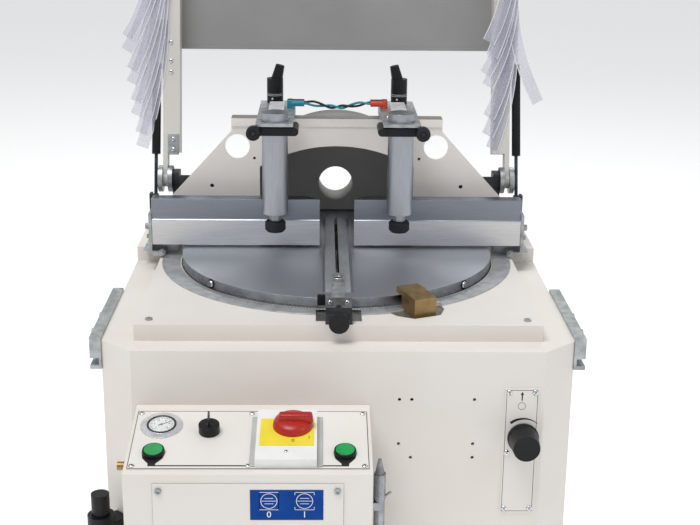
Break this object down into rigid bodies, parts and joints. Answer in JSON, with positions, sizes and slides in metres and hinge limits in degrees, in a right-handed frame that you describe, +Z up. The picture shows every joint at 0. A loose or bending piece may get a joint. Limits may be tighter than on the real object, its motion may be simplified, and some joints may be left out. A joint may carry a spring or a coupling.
{
  "type": "upcut saw",
  "caption": "Floor-standing upcut crosscut saw with a rotating table, split fence, pneumatic down-clamps, lifting hood with strip curtains and a sloping control box.",
  "frame": {"origin": "on the floor under the middle of the machine's box", "axes": "+Z up, +X to the operator's right, -Y towards the operator"},
  "size_m": [0.7513, 0.89, 1.5208],
  "materials": {
    "cream_paint": "satin powder coat",
    "grey_paint": "satin powder coat",
    "dark_steel": "dark painted steel",
    "machine_steel": "ground steel",
    "zinc": "zinc plated",
    "fence_aluminium": "milled",
    "barrel_aluminium": "anodised",
    "cast_iron": "cast",
    "chrome": "polished",
    "brass": "machined",
    "black_rubber": "matte",
    "black_plastic": "satin",
    "hose_plastic": "satin",
    "fitting_plastic": "gloss",
    "curtain_plastic": "clear",
    "green_plastic": "gloss",
    "red_plastic": "gloss",
    "grey_plastic": "satin",
    "panel_white": "satin",
    "gauge_steel": "polished"
  },
  "bodies": {
    "cabinet": {"base_frame": "dark_steel", "levelling_feet": "black_rubber", "cabinet_shell": "cream_paint", "rear_cover": "cream_paint", "top_deck": "cream_paint", "table_ring": "cast_iron", "scale_ring": "machine_steel", "fasteners": "zinc", "side_rails": "zinc", "index_block": "dark_steel", "fences": "fence_aluminium", "fence_brackets": "zinc", "arch_panel": "cream_paint", "rear_hood": "grey_paint", "dust_panel": "dark_steel", "hood_brackets": "dark_steel", "clamp_arms": "zinc", "clamp_barrels": "barrel_aluminium", "clamp_collars": "black_plastic", "air_fittings": "fitting_plastic", "air_hoses": "hose_plastic", "control_box": "cream_paint", "control_panel": "panel_white", "control_cover": "cream_paint", "gauge": "gauge_steel", "panel_fittings": "black_plastic", "switch_base": "grey_plastic", "speed_plate": "panel_white", "regulator_body": "black_plastic", "blow_gun": "chrome"},
    "turntable": {"table_disc": "machine_steel", "slot_strips": "machine_steel", "index_plate": "zinc", "saw_frame": "cast_iron"},
    "saw_unit": {"saw_arm": "cast_iron", "saw_motor": "cast_iron", "drive_belt": "black_rubber"},
    "blade": {"saw_blade": "machine_steel"},
    "drive_pulley": {"motor_pulley": "machine_steel"},
    "lift": {"lift_rod": "chrome"},
    "left_clamp": {"left_clamp_foot": "black_rubber"},
    "right_clamp": {"right_clamp_foot": "black_rubber"},
    "left_handle": {"left_lever": "black_plastic"},
    "right_handle": {"right_lever": "black_plastic"},
    "index": {"index_knob": "black_plastic"},
    "shoe": {"lock_shoe": "brass"},
    "hood": {"hood_sheet": "grey_paint", "hood_arms": "cream_paint"},
    "curtain_row_1": {"curtain_1": "curtain_plastic"},
    "curtain_row_2": {"curtain_2": "curtain_plastic"},
    "curtain_row_3": {"curtain_3": "curtain_plastic"},
    "curtain_row_4": {"curtain_4": "curtain_plastic"},
    "strut_rod": {"strut_rods": "dark_steel"},
    "strut_barrel": {"strut_barrels": "black_plastic"},
    "left_push": {"left_button": "green_plastic"},
    "right_push": {"right_button": "green_plastic"},
    "key": {"panel_key": "chrome"},
    "main_switch": {"switch_handle": "red_plastic"},
    "speed": {"speed_knob": "black_plastic"},
    "regulator": {"regulator_knob": "black_plastic"}
  },
  "joints": [
    {"name": "table_turn", "type": "hinge", "parent": "cabinet", "child": "turntable", "pos_m": [0, 0.095, 0.9], "axis": [0, 0, 1], "range_deg": [-45, 45]},
    {"name": "arm_lift", "type": "hinge", "parent": "turntable", "child": "saw_unit", "pos_m": [0, 0.335, 0.75], "axis": [-1, 0, 0], "range_deg": [0, 33.7]},
    {"name": "blade_spin", "type": "hinge", "parent": "saw_unit", "child": "blade", "pos_m": [0, 0.11665, 0.70993], "axis": [1, 0, 0], "continuous": true},
    {"name": "pulley_spin", "type": "hinge", "parent": "saw_unit", "child": "drive_pulley", "pos_m": [0, 0.265, 0.56], "axis": [1, 0, 0], "continuous": true},
    {"name": "lift_slide", "type": "slide", "parent": "turntable", "child": "lift", "axis": [0, 0, 1], "range_m": [0, 0.07556]},
    {"name": "left_clamp_slide", "type": "slide", "parent": "cabinet", "child": "left_clamp", "axis": [0, 0, -1], "range_m": [0, 0.04], "stiffness_N_per_m": 400, "springref_m": -0.02},
    {"name": "right_clamp_slide", "type": "slide", "parent": "cabinet", "child": "right_clamp", "axis": [0, 0, -1], "range_m": [0, 0.04], "stiffness_N_per_m": 400, "springref_m": -0.02},
    {"name": "left_lever_turn", "type": "hinge", "parent": "cabinet", "child": "left_handle", "pos_m": [-0.107, 0.211, 1.13], "axis": [0, 0, 1], "range_deg": [-60, 60]},
    {"name": "right_lever_turn", "type": "hinge", "parent": "cabinet", "child": "right_handle", "pos_m": [0.107, 0.211, 1.13], "axis": [0, 0, 1], "range_deg": [-60, 60]},
    {"name": "index_pull", "type": "slide", "parent": "cabinet", "child": "index", "axis": [0, -1, 0], "range_m": [0, 0.008], "stiffness_N_per_m": 500, "springref_m": -0.004},
    {"name": "shoe_slide", "type": "slide", "parent": "cabinet", "child": "shoe", "axis": [0.4067, -0.9135, 0], "range_m": [0, 0.004]},
    {"name": "hood_swing", "type": "hinge", "parent": "cabinet", "child": "hood", "pos_m": [0, 0.193, 0.998], "axis": [1, 0, 0], "range_deg": [0, 78]},
    {"name": "curtain_1_hang", "type": "hinge", "parent": "hood", "child": "curtain_row_1", "pos_m": [0, 0.25272, 1.26877], "axis": [1, 0, 0], "range_deg": [-78, 0]},
    {"name": "curtain_2_hang", "type": "hinge", "parent": "hood", "child": "curtain_row_2", "pos_m": [0, 0.26162, 1.32056], "axis": [1, 0, 0], "range_deg": [-78, 0]},
    {"name": "curtain_3_hang", "type": "hinge", "parent": "hood", "child": "curtain_row_3", "pos_m": [0, 0.27053, 1.37236], "axis": [1, 0, 0], "range_deg": [-78, 0]},
    {"name": "curtain_4_hang", "type": "hinge", "parent": "hood", "child": "curtain_row_4", "pos_m": [0, 0.27944, 1.42415], "axis": [1, 0, 0], "range_deg": [-78, 0]},
    {"name": "strut_turn", "type": "hinge", "parent": "cabinet", "child": "strut_rod", "pos_m": [0, 0.17, 0.97], "axis": [1, 0, 0], "range_deg": [0, 71.21]},
    {"name": "strut_slide", "type": "slide", "parent": "strut_rod", "child": "strut_barrel", "axis": [0, 0.3218, 0.9468], "range_m": [-0.03844, 0]},
    {"name": "left_button_press", "type": "slide", "parent": "cabinet", "child": "left_push", "axis": [0, 0.2044, -0.9789], "range_m": [0, 0.003], "stiffness_N_per_m": 300, "springref_m": -0.003},
    {"name": "right_button_press", "type": "slide", "parent": "cabinet", "child": "right_push", "axis": [0, 0.2044, -0.9789], "range_m": [0, 0.003], "stiffness_N_per_m": 300, "springref_m": -0.003},
    {"name": "key_turn", "type": "hinge", "parent": "cabinet", "child": "key", "pos_m": [-0.182, -0.34856, 0.7631], "axis": [0, -0.2044, 0.9789], "range_deg": [-90, 0]},
    {"name": "switch_turn", "type": "hinge", "parent": "cabinet", "child": "main_switch", "pos_m": [-0.065, -0.35346, 0.76207], "axis": [0, -0.2044, 0.9789], "range_deg": [-90, 0]},
    {"name": "speed_turn", "type": "hinge", "parent": "cabinet", "child": "speed", "pos_m": [0.27, -0.282, 0.726], "axis": [0, -1, 0], "range_deg": [-140, 140]},
    {"name": "regulator_turn", "type": "hinge", "parent": "cabinet", "child": "regulator", "pos_m": [-0.35003, -0.28949, 0.6], "axis": [0, 0, 1], "range_deg": [-170, 170]}
  ],
  "couplings": [
    {"joint": "pulley_spin", "follows": "blade_spin", "ratio": 1},
    {"joint": "lift_slide", "follows": "arm_lift", "m_per_rad": 0.12813},
    {"joint": "strut_turn", "follows": "hood_swing", "ratio": 0.91042},
    {"joint": "strut_slide", "follows": "hood_swing", "m_per_rad": -0.027869},
    {"joint": "curtain_1_hang", "follows": "hood_swing", "ratio": -1},
    {"joint": "curtain_2_hang", "follows": "hood_swing", "ratio": -1},
    {"joint": "curtain_3_hang", "follows": "hood_swing", "ratio": -1},
    {"joint": "curtain_4_hang", "follows": "hood_swing", "ratio": -1}
  ]
}
